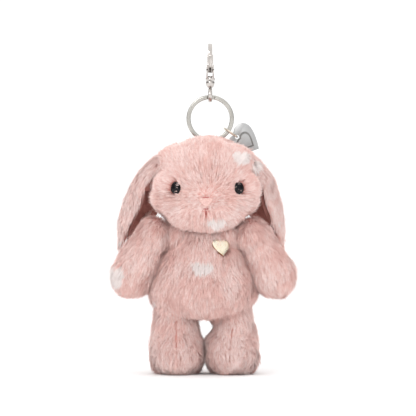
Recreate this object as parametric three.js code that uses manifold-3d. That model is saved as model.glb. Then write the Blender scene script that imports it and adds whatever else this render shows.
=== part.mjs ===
// A plush lop-eared bunny on a split key ring and a swivel snap hook.
// Millimetres, +Z up, the bunny faces -Y. Heights are first given above the soles of the feet,
// and the whole group is then moved so that its origin is the inner top of the hook's bow.

import * as THREE from 'three';
import { mergeVertices } from 'three/addons/utils/BufferGeometryUtils.js';
import Module from 'manifold-3d';

const wasm = await Module();
wasm.setup();

// Driving dimensions
const HANG = new THREE.Vector3(2.2, 12, 190); // the hook's bow: the line that everything hangs from
const GAP = 0.35; // space between pieces that touch
const WALL = 1.5; // pile fabric with its backing

const RING_RADIUS = 12.7; // middle of the key ring's flat wire
const RING_WIRE = { radial: 2.6, axial: 1.25 };
const RING_Z = 148.2;
const RING_BOTTOM_Z = RING_Z - RING_RADIUS;

const BOW_RADIUS = 5.2;
const BOW_WIRE = 2.2;
const BOW_Z = HANG.z - (BOW_RADIUS - BOW_WIRE / 2);
const GATE_PIVOT = { y: -4.2, z: 176.8 };

const HEAD = { x: -0.8, y: 0, z: 103, depth: 0.935 };
const BODY = { x: -2, y: 3, z: 0, depth: 0.83 };
const NECK_PIVOT = new THREE.Vector3(BODY.x, BODY.y, 84);
const NECK_RADIUS = 13;
const SHOULDER = { left: -30.8, right: 27.4, y: -4, z: 80.5, radius: 9, splay: 27 };
const HIP = { left: -17, right: 14.8, y: 2, z: 30, radius: 13.2 };
const EAR_ROOT = { x: 20.4, y: 0, z: 131.5 };

// Distance from the axis and height, from the bottom pole to the top pole
const HEAD_PROFILE = [
  [0, -18], [12, -16.6], [22, -12], [28.4, -5], [30.5, 2], [29.6, 10],
  [25.6, 19], [18, 27], [9, 31.7], [0, 33],
];
const BODY_PROFILE = [
  [0, 33.4], [14, 34.4], [24.6, 38.4], [30, 45], [29.4, 54], [25.4, 64],
  [21, 73], [16.3, 80], [13, 84.5], [11.6, 90], [7, 95], [0, 97],
];
const ARM_PROFILE = [
  [0, -38.2], [5.6, -36.8], [10, -32.6], [11.7, -26], [11, -17], [9.6, -8], [9, 0],
  [6.4, 6.3], [0, 9],
];
const LEG_PROFILE = [
  [0, -30], [12, -30], [13.9, -27], [14, -19], [13.5, -9], [13.2, 0], [9.4, 9.4], [0, 13.2],
];

// --- solids ---------------------------------------------------------------------------------

function facingOut(geometry) {
  const index = geometry.index.array;
  const at = (n) => new THREE.Vector3().fromBufferAttribute(geometry.attributes.position, index[n]);
  let volume = 0;
  for (let n = 0; n < index.length; n += 3) {
    volume += at(n).dot(at(n + 1).cross(at(n + 2)));
  }
  if (volume < 0) {
    for (let n = 0; n < index.length; n += 3) {
      [index[n], index[n + 1]] = [index[n + 1], index[n]];
    }
  }
  return geometry;
}

function bare(geometry) {
  const shape = geometry.clone();
  for (const name of Object.keys(shape.attributes)) {
    if (name !== 'position') shape.deleteAttribute(name);
  }
  return facingOut(mergeVertices(shape, 1e-4));
}

function solid(geometry) {
  const shape = bare(geometry);
  return new wasm.Manifold(new wasm.Mesh({
    numProp: 3,
    vertProperties: Float32Array.from(shape.attributes.position.array),
    triVerts: Uint32Array.from(shape.index.array),
  }));
}

function geometryOf(body) {
  const mesh = body.getMesh();
  const geometry = new THREE.BufferGeometry();
  geometry.setAttribute('position', new THREE.BufferAttribute(mesh.vertProperties, mesh.numProp));
  geometry.setIndex(new THREE.BufferAttribute(mesh.triVerts, 1));
  return geometry;
}

function join(first, ...others) {
  return geometryOf(others.reduce((body, other) => body.add(solid(other)), solid(first)));
}

function cut(first, ...others) {
  return geometryOf(others.reduce((body, other) => body.subtract(solid(other)), solid(first)));
}

function box(x0, x1, y0, y1, z0, z1) {
  const geometry = new THREE.BoxGeometry(x1 - x0, y1 - y0, z1 - z0);
  return geometry.translate((x0 + x1) / 2, (y0 + y1) / 2, (z0 + z1) / 2);
}

function ball(radius, x, y, z, segments = 24, rings = 14) {
  return new THREE.SphereGeometry(radius, segments, rings).rotateX(Math.PI / 2).translate(x, y, z);
}

function rodX(radius, x0, x1, y, z, sides = 16) {
  const rod = new THREE.CylinderGeometry(radius, radius, x1 - x0, sides).rotateZ(Math.PI / 2);
  return rod.translate((x0 + x1) / 2, y, z);
}

function rodZ(radius, z0, z1, sides = 20) {
  const rod = new THREE.CylinderGeometry(radius, radius, z1 - z0, sides).rotateX(Math.PI / 2);
  return rod.translate(0, 0, (z0 + z1) / 2);
}

// A shape drawn in the YZ plane and given a thickness along X
function plateYZ(shape, x0, x1, curveSegments = 12) {
  const settings = { depth: x1 - x0, bevelEnabled: false, curveSegments };
  const plate = new THREE.ExtrudeGeometry(shape, settings);
  plate.applyMatrix4(new THREE.Matrix4().set(0, 0, 1, x0, 1, 0, 0, 0, 0, 1, 0, 0, 0, 0, 0, 1));
  return plate;
}

// A closed skin over a row of rings that all have the same number of points
function skinOf(rings) {
  const around = rings[0].length;
  const points = rings.flat();
  const faces = [];
  for (let row = 0; row + 1 < rings.length; row += 1) {
    for (let n = 0; n < around; n += 1) {
      const a = row * around + n;
      const b = row * around + (n + 1) % around;
      faces.push(a, b, b + around, a, b + around, a + around);
    }
  }
  for (const [row, turn] of [[0, -1], [rings.length - 1, 1]]) {
    const middle = rings[row].reduce((sum, p) => sum.add(p), new THREE.Vector3());
    middle.divideScalar(around);
    points.push(middle);
    for (let n = 0; n < around; n += 1) {
      const a = row * around + n;
      const b = row * around + (n + 1) % around;
      faces.push(...(turn > 0 ? [a, b, points.length - 1] : [b, a, points.length - 1]));
    }
  }
  const geometry = new THREE.BufferGeometry().setFromPoints(points);
  geometry.setIndex(faces);
  return facingOut(geometry);
}

// --- round bodies from a profile --------------------------------------------------------------

function smooth(profile, samples) {
  const curve = new THREE.SplineCurve(profile.map(([r, z]) => new THREE.Vector2(r, z)));
  const points = curve.getSpacedPoints(samples);
  points[0].x = 0;
  points[samples].x = 0;
  return points;
}

function inset(points, distance) {
  const last = points.length - 1;
  return points.map((point, n) => {
    if (n === 0) return new THREE.Vector2(0, point.y + distance);
    if (n === last) return new THREE.Vector2(0, point.y - distance);
    const along = points[n + 1].clone().sub(points[n - 1]).normalize();
    const radius = Math.max(point.x - along.y * distance, 0.2);
    return new THREE.Vector2(radius, point.y + along.x * distance);
  });
}

function turned(profile, { samples, segments, depth = 1, shrink = 0 }) {
  const points = inset(smooth(profile, samples), shrink);
  return new THREE.LatheGeometry(points, segments).rotateX(Math.PI / 2).scale(1, depth, 1);
}

// The place on the front or back of a turned body at a given x and height, and the way out of it
function frontOf(profile, centre, x, z, side) {
  const points = smooth(profile, 200);
  const radiusAt = (height) => {
    const n = points.findIndex((p) => p.y + centre.z >= height);
    return points[n].x;
  };
  const depthAt = (px, pz) => {
    const half = Math.sqrt(radiusAt(pz) ** 2 - (px - centre.x) ** 2);
    return centre.y + side * centre.depth * half;
  };
  const step = 1.5;
  const place = new THREE.Vector3(x, depthAt(x, z), z);
  const acrossX = new THREE.Vector3(2 * step, depthAt(x + step, z) - depthAt(x - step, z), 0);
  const acrossZ = new THREE.Vector3(0, depthAt(x, z + step) - depthAt(x, z - step), 2 * step);
  const out = acrossX.cross(acrossZ).normalize();
  if (out.y * side < 0) out.negate();
  return { place, out };
}

// Turns a geometry drawn on the XY plane, with +Z as its outside, to lie on a surface
function seat(geometry, { place, out }) {
  const right = new THREE.Vector3(0, 0, 1).cross(out).normalize();
  const up = out.clone().cross(right);
  const frame = new THREE.Matrix4().makeBasis(right, up, out).setPosition(place);
  return geometry.applyMatrix4(frame);
}

// --- materials --------------------------------------------------------------------------------

function material(color, roughness, metalness = 0) {
  return new THREE.MeshStandardMaterial({ color, roughness, metalness });
}

const STEEL = material(0xd3d2cc, 0.22, 1);
const SATIN_STEEL = material(0xc4c6c6, 0.38, 1);
const WARM_STEEL = material(0xcdb9a4, 0.3, 1);
const DARK_STEEL = material(0x77706b, 0.35, 1);
const CHAMPAGNE = material(0xe9d3a6, 0.25, 1);
const PILE = material(0xe5b1a9, 0.95);
const LINING = material(0xb97a6d, 0.9);
const FILLING = material(0xf2f0ec, 1);
const RIBBON = material(0xd99f96, 0.8);
const EYE_BLACK = material(0x0d0c10, 0.08);
const WASHER_WHITE = material(0xe8e8e4, 0.5);
const NOSE_PINK = material(0xe6b3ac, 0.9);
const THREAD = material(0x9c4a48, 0.75);

// --- the snap hook ----------------------------------------------------------------------------

const hookGroup = new THREE.Group();

function node(name, geometry, look, parent) {
  const mesh = new THREE.Mesh(bare(geometry), look);
  mesh.name = name;
  parent.add(mesh);
  return mesh;
}

const COLLAR = { z0: 170.5, z1: 172.1, radius: 2.7, bore: 1.15 };
const CHEEK = { inner: 1.4, outer: 2.2, z1: 179.6 };

function hookFrame() {
  const outer = BOW_RADIUS + BOW_WIRE / 2;
  const inner = BOW_RADIUS - BOW_WIRE / 2;
  const noseZ = BOW_Z - 0.3;
  const bow = new THREE.Shape();
  bow.moveTo(outer, BOW_Z);
  bow.absarc(0, BOW_Z, outer, 0, Math.PI);
  bow.lineTo(-outer, noseZ);
  bow.lineTo(-inner, noseZ);
  bow.lineTo(-inner, BOW_Z);
  bow.absarc(0, BOW_Z, inner, Math.PI, 0, true);
  bow.lineTo(inner, 181.5);
  bow.quadraticCurveTo(inner, 178.6, 0.4, 178.2);
  bow.lineTo(-0.8, 175.2);
  bow.lineTo(3.6, 175.2);
  bow.quadraticCurveTo(outer, 176.6, outer, 181);
  const cheek = new THREE.Shape();
  cheek.moveTo(-2.2, COLLAR.z1 - 0.4);
  cheek.lineTo(2.2, COLLAR.z1 - 0.4);
  cheek.quadraticCurveTo(4.4, 174.6, 5, CHEEK.z1);
  cheek.lineTo(-4.6, CHEEK.z1);
  cheek.quadraticCurveTo(-6.2, 177.6, -2.2, COLLAR.z1 - 0.4);
  const pinHoles = rodX(0.8, -3, 3, GATE_PIVOT.y, GATE_PIVOT.z, 12);
  const collar = rodZ(COLLAR.radius, COLLAR.z0, COLLAR.z1);
  const frame = join(
    plateYZ(bow, -1.2, 1.2, 12),
    plateYZ(cheek, CHEEK.inner, CHEEK.outer),
    plateYZ(cheek, -CHEEK.outer, -CHEEK.inner),
    box(-1.5, 1.5, 0.6, 4.4, 175.4, 179.4),
    collar,
  );
  return cut(frame, rodZ(COLLAR.bore, COLLAR.z0 - 1, COLLAR.z1 + 1, 12), pinHoles);
}

function gateLever() {
  const topZ = BOW_Z - 0.3 - GAP;
  const blade = new THREE.Shape();
  blade.moveTo(-5.4, 175.4);
  blade.lineTo(-3.2, 175.2);
  blade.lineTo(-2.7, 177.6);
  blade.lineTo(-4.3, 180.2);
  blade.lineTo(-4.3, topZ);
  blade.lineTo(-6.3, topZ);
  blade.lineTo(-6.1, 179);
  const body = join(plateYZ(blade, -1.05, 1.05), box(-1.75, 1.75, -6.3, -4.4, CHEEK.z1 + 0.5, topZ));
  const channel = box(-0.6, 0.6, -8, -5.5, 175, topZ - 0.6);
  const springSeat = box(-0.75, 0.75, -6, -2, 175, 178.3);
  return cut(body, channel, springSeat, rodX(0.75, -3, 3, GATE_PIVOT.y, GATE_PIVOT.z, 12));
}

function gateSpring() {
  const turns = 2;
  const steps = 22;
  const wire = 0.16;
  const rings = [];
  for (let n = 0; n <= steps; n += 1) {
    const angle = (n / steps) * turns * 2 * Math.PI;
    const way = new THREE.Vector3(0, Math.cos(angle), Math.sin(angle));
    const middle = way.clone().multiplyScalar(0.95);
    middle.x = (n / steps - 0.5) * turns * 0.45;
    const ring = [];
    for (let k = 0; k < 6; k += 1) {
      const turn = (k / 6) * 2 * Math.PI;
      const point = middle.clone().addScaledVector(way, Math.cos(turn) * wire);
      point.x += Math.sin(turn) * wire;
      ring.push(point.add(new THREE.Vector3(0, GATE_PIVOT.y, GATE_PIVOT.z)));
    }
    rings.push(ring);
  }
  return skinOf(rings);
}

const EYE_Z = 162.05; // middle of the swivel's eye
const EYE_HOLE = 3;
const EYE_WIRE = 1.3;

function swivelEye() {
  const loop = new THREE.TorusGeometry(EYE_HOLE + EYE_WIRE / 2, EYE_WIRE / 2, 8, 20);
  loop.rotateY(Math.PI / 2).scale(1.9, 1, 1).translate(0, 0, EYE_Z);
  const barrel = [
    [0, 166.2], [1.5, 166.4], [2.2, 167.4], [2.6, 168.8], [2.6, 170], [2.3, 170.2], [0, 170.2],
  ];
  const cap = new THREE.LatheGeometry(barrel.map(([r, z]) => new THREE.Vector2(r, z)), 16);
  const stem = rodZ(0.8, 169, 172.6, 12);
  const head = rodZ(1.3, 172.4, 173.2, 12);
  return join(loop, cap.rotateX(Math.PI / 2), stem, head);
}

node('hook_frame', hookFrame(), STEEL, hookGroup);
node('gate_lever', gateLever(), STEEL, hookGroup);
node('gate_pin', rodX(0.45, -2.3, 2.3, GATE_PIVOT.y, GATE_PIVOT.z, 12), DARK_STEEL, hookGroup);
node('gate_spring', gateSpring(), DARK_STEEL, hookGroup);
node('swivel_eye', swivelEye(), STEEL, hookGroup);
hookGroup.position.set(HANG.x, HANG.y, 0);

// --- the key ring, jump ring and charm ---------------------------------------------------------

const ringGroup = new THREE.Group();
const COIL_STEP = RING_WIRE.axial + 0.15; // from one coil to the next along the ring's axis
const CROSSING = THREE.MathUtils.degToRad(10); // half the arc in which one coil steps over to the other

// Two flat coils side by side, with one short step between them at the top of the ring
function keyRing() {
  const start = CROSSING * 1.25;
  const end = 4 * Math.PI - CROSSING * 1.25;
  const steps = 64;
  const rings = [];
  const corner = 0.3;
  const wide = RING_WIRE.radial / 2;
  const thick = RING_WIRE.axial / 2;
  const section = [
    [wide - corner, -thick], [wide, 0], [wide - corner, thick],
    [corner - wide, thick], [-wide, 0], [corner - wide, -thick],
  ];
  for (let n = 0; n <= steps; n += 1) {
    const angle = start + (n / steps) * (end - start);
    const across = THREE.MathUtils.smoothstep(angle, 2 * Math.PI - CROSSING, 2 * Math.PI + CROSSING);
    const out = new THREE.Vector3(Math.sin(angle), 0, Math.cos(angle));
    rings.push(section.map(([radial, axial]) => {
      const point = out.clone().multiplyScalar(RING_RADIUS + radial);
      point.y = (across - 0.5) * COIL_STEP + axial;
      point.z += RING_Z;
      return point;
    }));
  }
  return skinOf(rings);
}

const LINK_ANGLE = THREE.MathUtils.degToRad(-34); // below level, on the right of the key ring
const LINK = { middle: RING_RADIUS + 1.75, radius: 4.4, wire: 1.3 };
const CHARM_HOLE = 1.3;
const CHARM_THICK = 1.2;
const CHARM_HALF = 9.4;
const CHARM_Y = 1.5; // it hangs a little way back along the jump ring, clear of the ear

function charmLink() {
  const link = new THREE.TorusGeometry(LINK.radius, LINK.wire / 2, 8, 24);
  return link.translate(LINK.middle, 0, 0).rotateY(-LINK_ANGLE).translate(0, 0, RING_Z);
}

// A heart with its notch at the origin and its point along -Y
function heartShape(half) {
  const heart = new THREE.Shape();
  heart.moveTo(0, 0);
  heart.bezierCurveTo(0.15 * half, 0.26 * half, 0.9 * half, 0.3 * half, half, -0.3 * half);
  heart.bezierCurveTo(1.06 * half, -0.8 * half, 0.4 * half, -1.4 * half, 0, -1.76 * half);
  heart.bezierCurveTo(-0.4 * half, -1.4 * half, -1.06 * half, -0.8 * half, -half, -0.3 * half);
  heart.bezierCurveTo(-0.9 * half, 0.3 * half, -0.15 * half, 0.26 * half, 0, 0);
  return heart;
}

function heartPlate(half, thick, curveSegments) {
  const settings = { depth: thick, bevelEnabled: false, curveSegments };
  return new THREE.ExtrudeGeometry(heartShape(half), settings).translate(0, 0, -thick / 2);
}

function heartCharm() {
  const holeAt = 1.9; // from the notch to the middle of the hole
  const plate = heartPlate(CHARM_HALF, CHARM_THICK, 8).translate(0, holeAt, 0);
  const hole = rodZ(CHARM_HOLE, -2, 2, 16);
  const charm = cut(plate, hole).rotateX(Math.PI / 2); // in the XZ plane, its point downwards
  const turn = THREE.MathUtils.degToRad(62); // the point leans out to the right
  const reach = LINK.middle + LINK.radius;
  charm.rotateY(-turn);
  const hangsAt = RING_Z + Math.sin(LINK_ANGLE) * reach;
  return charm.translate(Math.cos(LINK_ANGLE) * reach, CHARM_Y, hangsAt);
}

node('key_ring', keyRing(), STEEL, ringGroup);
node('charm_link', charmLink(), WARM_STEEL, ringGroup);
node('heart_charm', heartCharm(), SATIN_STEEL, ringGroup);
ringGroup.position.set(HANG.x, HANG.y, 0);

// --- the head ----------------------------------------------------------------------------------

const headGroup = new THREE.Group();
const EYES = { left: -17.1, right: 18.2, z: 107.3 };
const LOOP = { inner: 2.3, outer: 3, halfWidth: 2.5, tab: 0.7, bottom: 127 };

function hangLoop() {
  const band = new THREE.Shape();
  band.absarc(0, RING_BOTTOM_Z, LOOP.outer, 0, 2 * Math.PI);
  const opening = new THREE.Path();
  opening.absarc(0, RING_BOTTOM_Z, LOOP.inner, 0, 2 * Math.PI, true);
  band.holes.push(opening);
  const round = plateYZ(band, -LOOP.halfWidth, LOOP.halfWidth, 12);
  const top = RING_BOTTOM_Z - (LOOP.inner + LOOP.outer) / 2;
  const tab = box(-LOOP.halfWidth, LOOP.halfWidth, -LOOP.tab, LOOP.tab, LOOP.bottom, top);
  return join(round, tab).translate(HANG.x, HANG.y, 0);
}

function loopRoom() {
  const wide = LOOP.halfWidth + GAP;
  const round = rodX(LOOP.outer + GAP, -wide, wide, 0, RING_BOTTOM_Z, 20);
  const slot = box(-wide, wide, -LOOP.tab - GAP, LOOP.tab + GAP, LOOP.bottom - GAP, RING_BOTTOM_Z);
  return join(round, slot).translate(HANG.x, HANG.y, 0);
}

function headSolid(shrink, samples, segments) {
  const head = turned(HEAD_PROFILE, { samples, segments, depth: HEAD.depth, shrink });
  return head.translate(HEAD.x, HEAD.y, HEAD.z);
}

function neckRoom(extra) {
  return ball(NECK_RADIUS + extra, NECK_PIVOT.x, NECK_PIVOT.y, NECK_PIVOT.z, 18, 10);
}

const eyeSeats = [EYES.left, EYES.right].map((x) => frontOf(HEAD_PROFILE, HEAD, x, EYES.z, -1));
const SHANK = 1.1;
const WASHER = { radius: 3.6, thick: 0.8, top: -WALL - GAP - 0.65 };

function safetyEye() {
  const points = [[0, 0], [1, 0]];
  for (let n = 1; n <= 6; n += 1) {
    const angle = (n / 6) * (Math.PI / 2);
    points.push([Math.cos(angle), Math.sin(angle)]);
  }
  points[points.length - 1][0] = 0;
  const cap = new THREE.LatheGeometry(points.map(([r, z]) => new THREE.Vector2(r, z)), 16);
  cap.rotateX(Math.PI / 2).scale(3.35, 3.9, 2.6).translate(0, 0, GAP);
  return join(cap, rodZ(SHANK, -5, 1, 12));
}

function washer(hole, radius) {
  const ring = rodZ(radius, WASHER.top - WASHER.thick, WASHER.top, 16);
  return cut(ring, rodZ(hole, -9, 1, 12));
}

function headSkin() {
  const shell = cut(headSolid(0, 14, 24), headSolid(WALL, 12, 18));
  const shanks = eyeSeats.map((place) => seat(rodZ(SHANK + GAP, -6, 2, 12), place));
  return cut(shell, neckRoom(0.6), loopRoom(), ...shanks);
}

function headStuffing() {
  const pockets = eyeSeats.map((place) => seat(rodZ(WASHER.radius + GAP, -5.9, 2, 14), place));
  return cut(headSolid(WALL + GAP + 0.6, 11, 16), neckRoom(0.9), loopRoom(), ...pockets);
}

// A rounded triangle, wider at its top
function nosePad() {
  const pad = new THREE.Shape();
  pad.moveTo(0, -3);
  pad.bezierCurveTo(1.6, -2.4, 4.4, 0.4, 4.6, 1.8);
  pad.bezierCurveTo(4.6, 3.2, 2.4, 3, 0, 3);
  pad.bezierCurveTo(-2.4, 3, -4.6, 3.2, -4.6, 1.8);
  pad.bezierCurveTo(-4.4, 0.4, -1.6, -2.4, 0, -3);
  const settings = { depth: 0.9, bevelEnabled: false, curveSegments: 5 };
  return new THREE.ExtrudeGeometry(pad, settings).scale(0.8, 0.85, 1);
}

function mouthStitch() {
  const bar = box(-1.5, 1.5, 1.6, 2.3, 0, 0.6);
  const line = box(-0.35, 0.35, -2.2, 1.9, 0, 0.6);
  return join(bar, line);
}

const NOSE = { x: -0.3, z: 99.6 };
const MOUTH = { x: -0.3, z: 94.4 };
const nosePlace = frontOf(HEAD_PROFILE, HEAD, NOSE.x, NOSE.z, -1);
const mouthPlace = frontOf(HEAD_PROFILE, HEAD, MOUTH.x, MOUTH.z, -1);

node('hang_loop', hangLoop(), RIBBON, headGroup);
node('head_skin', headSkin(), PILE, headGroup);
node('head_stuffing', headStuffing(), FILLING, headGroup);
['left', 'right'].forEach((side, n) => {
  node(`eye_${side}`, seat(safetyEye(), eyeSeats[n]), EYE_BLACK, headGroup);
  const lock = seat(washer(SHANK + 0.3, WASHER.radius), eyeSeats[n]);
  node(`eye_washer_${side}`, lock, WASHER_WHITE, headGroup);
});
node('nose_pad', seat(nosePad().translate(0, 0, GAP), nosePlace), NOSE_PINK, headGroup);
node('mouth_stitch', seat(mouthStitch().translate(0, 0, GAP), mouthPlace), THREAD, headGroup);

// --- the ears ----------------------------------------------------------------------------------

// Each ear is a long cupped leaf: from its root on the crown it lies over the side of the head,
// then hangs free with both edges curled in. Given for the right side; out is the splay of the tip.
function earLeaf(near, far, reach, out) {
  const spine = new THREE.CatmullRomCurve3([
    [EAR_ROOT.x, EAR_ROOT.y, EAR_ROOT.z], [29.6 + out * 0.35, 2.5, 121.5], [37 + out * 0.5, 7, 108],
    [41 + out * 0.9, 13, 90], [41.2 + out, 18, 72],
  ].map((p) => new THREE.Vector3(...p)));
  const rows = 10;
  const half = 4;
  const rings = [];
  for (let row = 0; row <= rows; row += 1) {
    const u = row / rows;
    const middle = spine.getPoint(u);
    const along = spine.getTangent(u);
    const outward = new THREE.Vector3(0, 1, 0).cross(along).normalize().negate();
    const width = 13.5 * Math.sin(Math.PI * (0.19 + 0.76 * u)) ** 0.75;
    const curl = THREE.MathUtils.smoothstep(u, 0.35, 0.7) * (1 - THREE.MathUtils.smoothstep(u, 0.7, 1));
    const ring = [];
    const put = (v, lift) => {
      const bend = (v < 0 ? 9 : 13) * curl * v * v;
      const edge = 1 - 0.35 * v * v;
      const point = middle.clone();
      point.y += v * width;
      point.addScaledVector(outward, lift * edge - bend);
      ring.push(point);
    };
    for (let k = -half; k <= half; k += 1) put((k / half) * reach, far);
    for (let k = half; k >= -half; k -= 1) put((k / half) * reach, near);
    rings.push(ring);
  }
  return skinOf(rings);
}

const EAR_LEAN = { left: 6.3, right: 0 };
// name, inner face, outer face, share of the width, look
const EAR_LAYERS = [['ear', 0.5, 2.6, 1, PILE], ['ear_lining', -1.8, -0.8, 0.92, LINING]];
for (const side of ['left', 'right']) {
  for (const [name, near, far, reach, look] of EAR_LAYERS) {
    const leaf = earLeaf(near, far, reach, EAR_LEAN[side]);
    if (side === 'left') leaf.scale(-1, 1, 1);
    node(`${name}_${side}`, leaf, look, headGroup);
  }
}

// --- the body ----------------------------------------------------------------------------------

const bodyGroup = new THREE.Group();
const BADGE = { x: 7.6, z: 72.9, half: 5.3, thick: 1.1, lift: 2.4, post: 0.45 };
const badgePlace = frontOf(BODY_PROFILE, BODY, BADGE.x, BADGE.z, -1);
const TAIL = { radius: 8, height: 9, z: 47 };

function bodySolid(shrink, samples, segments) {
  const body = turned(BODY_PROFILE, { samples, segments, depth: BODY.depth, shrink });
  return body.translate(BODY.x, BODY.y, BODY.z);
}

function limbRooms(extra) {
  return ['left', 'right'].flatMap((side) => [
    ball(HIP.radius + extra, HIP[side], HIP.y, HIP.z, 18, 10),
    ball(SHOULDER.radius + extra, SHOULDER[side], SHOULDER.y, SHOULDER.z, 14, 8),
  ]);
}

function bodySkin() {
  const shell = cut(bodySolid(0, 14, 24), bodySolid(WALL, 12, 18));
  return cut(shell, ...limbRooms(0.7), seat(rodZ(BADGE.post + GAP, -5, 2, 10), badgePlace));
}

function bodyStuffing() {
  const pocket = seat(rodZ(3 + GAP, -4.5, 2, 14), badgePlace);
  return cut(bodySolid(WALL + GAP + 0.8, 11, 16), ...limbRooms(1.1), pocket);
}

function badgePin() {
  const heart = heartPlate(BADGE.half, BADGE.thick, 6).translate(0, BADGE.half * 0.62, BADGE.lift);
  return join(heart, rodZ(BADGE.post, -4, BADGE.lift, 10));
}

function tailPuff() {
  const points = [[0, 0], [TAIL.radius * 0.7, 0]];
  for (let n = 1; n <= 8; n += 1) {
    const angle = -0.6 + (n / 8) * (Math.PI / 2 + 0.6);
    points.push([TAIL.radius * Math.cos(angle), 3 + (TAIL.height - 3) * Math.sin(angle)]);
  }
  points[points.length - 1][0] = 0;
  const tail = new THREE.LatheGeometry(points.map(([r, z]) => new THREE.Vector2(r, z)), 14);
  return tail.rotateX(Math.PI / 2).translate(0, 0, GAP);
}

node('body_skin', bodySkin(), PILE, bodyGroup);
node('body_stuffing', bodyStuffing(), FILLING, bodyGroup);
node('badge_pin', seat(badgePin(), badgePlace), CHAMPAGNE, bodyGroup);
node('badge_clutch', seat(washer(BADGE.post + 0.3, 2.6), badgePlace), STEEL, bodyGroup);
node('tail', seat(tailPuff(), frontOf(BODY_PROFILE, BODY, 0, TAIL.z, 1)), PILE, bodyGroup);

// --- arms and legs -----------------------------------------------------------------------------

function armSolid(shrink, samples, segments) {
  return turned(ARM_PROFILE, { samples, segments, depth: 0.88, shrink });
}

for (const side of ['left', 'right']) {
  const tilt = THREE.MathUtils.degToRad(SHOULDER.splay) * (side === 'left' ? 1 : -1);
  const place = (geometry) => geometry.rotateY(tilt).translate(SHOULDER[side], SHOULDER.y, SHOULDER.z);
  const mouth = rodZ(4, 2, 12, 14);
  const skin = cut(armSolid(0, 11, 18), armSolid(WALL, 9, 14), mouth);
  node(`arm_skin_${side}`, place(skin), PILE, bodyGroup);
  node(`arm_stuffing_${side}`, place(armSolid(WALL + GAP + 0.35, 8, 12)), FILLING, bodyGroup);
}

const FOOT = { y: -5.5, z: -20.5, wide: 14.2, long: 17, high: 11.5 };

function legSolid(shrink, samples, segments) {
  const shin = turned(LEG_PROFILE, { samples, segments, depth: 1, shrink });
  const foot = new THREE.SphereGeometry(1, segments, 10).rotateX(Math.PI / 2);
  foot.scale(FOOT.wide - shrink, FOOT.long - shrink, FOOT.high - shrink).translate(0, FOOT.y, FOOT.z);
  const under = box(-30, 30, -30, 30, -60, -HIP.z + shrink);
  return cut(join(shin, foot), under);
}

for (const side of ['left', 'right']) {
  const mouth = rodZ(5, 4, 16, 14);
  const place = (geometry) => geometry.translate(HIP[side], HIP.y, HIP.z);
  const skin = cut(legSolid(0, 11, 18), legSolid(WALL, 9, 14), mouth);
  node(`leg_skin_${side}`, place(skin), PILE, bodyGroup);
  node(`leg_stuffing_${side}`, place(legSolid(WALL + GAP + 0.5, 8, 12)), FILLING, bodyGroup);
}

const keychain = new THREE.Group();
keychain.add(hookGroup, ringGroup, headGroup, bodyGroup);
keychain.position.copy(HANG).negate();

export default keychain;
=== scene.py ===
"""Looks for a plush lop-eared bunny on a key ring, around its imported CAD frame.

Shapes are given in millimetres in floor coordinates: x from the middle of the toy, y towards its
back and z above its soles. ORIGIN, which comes from the CAD boxes, moves them into the row frame.
"""

import math

import bmesh
import bpy
import numpy as np
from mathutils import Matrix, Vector


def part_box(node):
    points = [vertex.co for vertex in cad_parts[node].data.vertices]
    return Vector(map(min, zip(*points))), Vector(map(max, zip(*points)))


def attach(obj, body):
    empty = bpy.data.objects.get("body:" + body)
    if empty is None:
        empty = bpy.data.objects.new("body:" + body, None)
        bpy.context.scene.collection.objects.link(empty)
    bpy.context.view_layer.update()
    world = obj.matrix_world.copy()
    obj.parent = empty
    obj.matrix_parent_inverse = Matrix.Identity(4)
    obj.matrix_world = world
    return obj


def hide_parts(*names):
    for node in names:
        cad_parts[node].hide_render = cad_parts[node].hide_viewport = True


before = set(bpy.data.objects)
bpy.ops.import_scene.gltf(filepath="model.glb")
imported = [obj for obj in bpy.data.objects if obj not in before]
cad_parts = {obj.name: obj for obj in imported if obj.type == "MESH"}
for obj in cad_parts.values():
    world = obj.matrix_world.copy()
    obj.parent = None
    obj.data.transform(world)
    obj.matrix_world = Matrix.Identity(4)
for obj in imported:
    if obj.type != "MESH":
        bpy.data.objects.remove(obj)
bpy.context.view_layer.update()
scene = bpy.context.scene

MM = 0.001
SEED = 11
DENSITY = 8.5  # strands to a square millimetre of pelt
STRAND_WIDTH = 0.24
# A strand's stations along its length, each with its share of the full width
STRAND_STATIONS = ((0.0, 1.0), (0.38, 1.0), (0.72, 0.8), (1.0, 0.0))
STRAND_POINTS = 7
ROOTED = 0.35  # how deep a strand starts under the pelt
SAG = 0.35  # how far its tip hangs down
JITTER = 0.12  # how far neighbouring strands differ in direction
SWIRL = 0.14  # how far whole areas of pile turn aside
TWIST = 0.25  # radians that a strand's flat side turns by
GUARD_SHARE = 0.05  # the share of longer hairs that stand proud of the rest
GUARD_HEIGHT = 1.35
FLOOR_CLEARANCE = 0.08
LEFT, RIGHT = -1, 1

body_low, body_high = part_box("body_skin")
leg_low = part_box("leg_skin_left")[0]
BODY_AT = (-2.0, 3.0)  # the middle of the body in floor coordinates
ORIGIN = np.array([
    (body_low.x + body_high.x) / 2 / MM - BODY_AT[0],
    (body_low.y + body_high.y) / 2 / MM - BODY_AT[1],
    leg_low.z / MM,
])

# --- small numeric helpers ----------------------------------------------------------------------


def to_row(points):
    """Floor millimetres to row-frame metres."""
    return (np.asarray(points, float) + ORIGIN) * MM


def unit(vectors):
    length = np.linalg.norm(vectors, axis=-1, keepdims=True)
    return vectors / np.maximum(length, 1e-9)


def smoothstep(low, high, value):
    t = np.clip((value - low) / (high - low), 0, 1)
    return t * t * (3 - 2 * t)


def ripple(points, wavelength, seed):
    """Smooth noise between about -1 and 1: a sum of sine waves in seeded directions."""
    rng = np.random.default_rng(SEED * 1000 + seed)
    total = np.zeros(len(points))
    waves = 7
    for _ in range(waves):
        way = unit(rng.normal(size=3))
        scale = rng.uniform(0.7, 1.4) * 2 * math.pi / wavelength
        total += np.sin(points @ way * scale + rng.uniform(0, 2 * math.pi))
    return total / math.sqrt(waves)


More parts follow.
